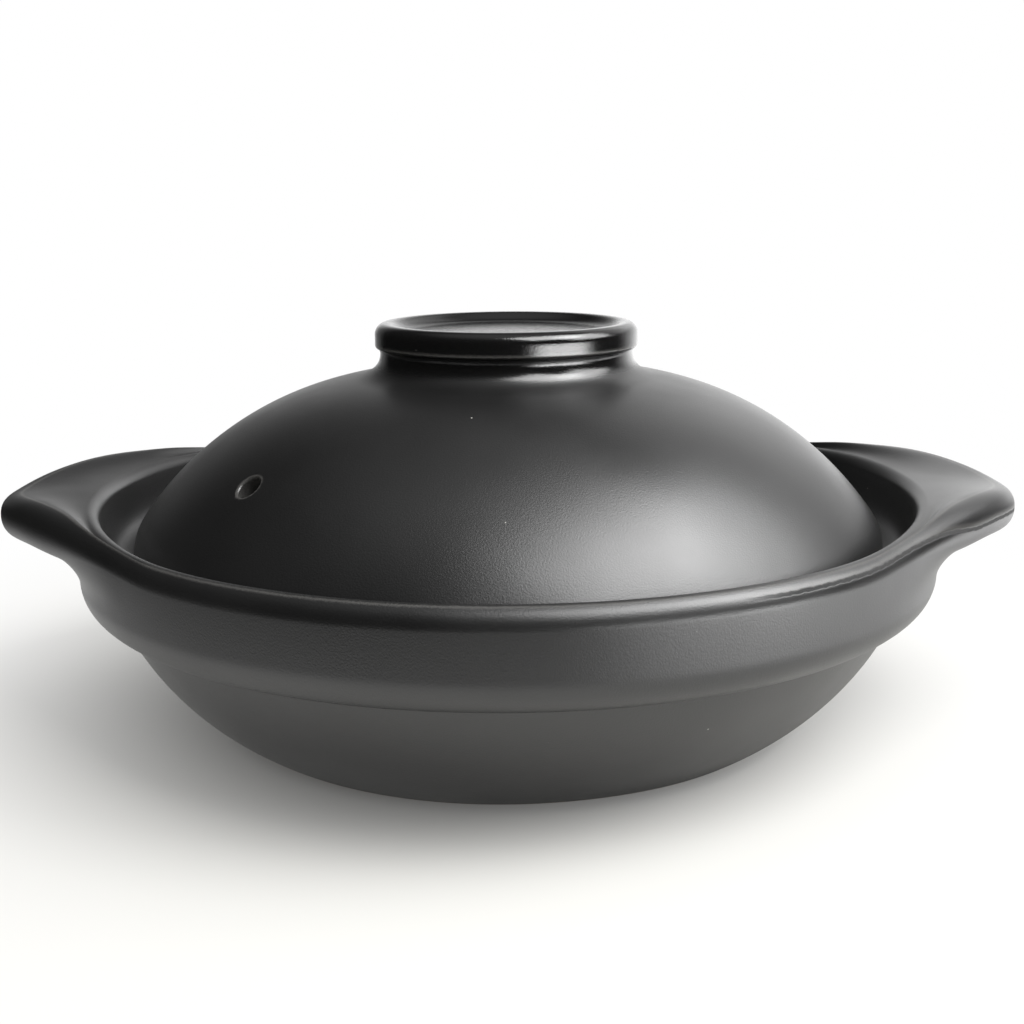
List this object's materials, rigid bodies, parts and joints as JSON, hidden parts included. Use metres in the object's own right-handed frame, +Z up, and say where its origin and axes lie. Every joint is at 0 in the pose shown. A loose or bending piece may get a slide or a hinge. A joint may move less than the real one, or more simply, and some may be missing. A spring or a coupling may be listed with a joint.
{
  "type": "clay pot",
  "caption": "Round shallow clay casserole with a thick band, wing handles flowing out of the rim, and a domed lid with a ring knob and a steam vent, glazed black.",
  "frame": {"origin": "on the table under the middle of the foot", "axes": "+Z up, X across the two handles, -Y towards the side with the steam vent"},
  "size_m": [0.3058, 0.2514, 0.1149],
  "materials": {
    "pot_glaze": "satin black glaze",
    "lid_glaze": "satin black glaze"
  },
  "bodies": {
    "pot": {"pot": "pot_glaze"},
    "lid": {"lid": "lid_glaze"}
  },
  "joints": [
    {"name": "lid_lift", "type": "slide", "parent": "pot", "child": "lid", "axis": [0, 0, 1], "range_m": [0, 0.15]}
  ]
}
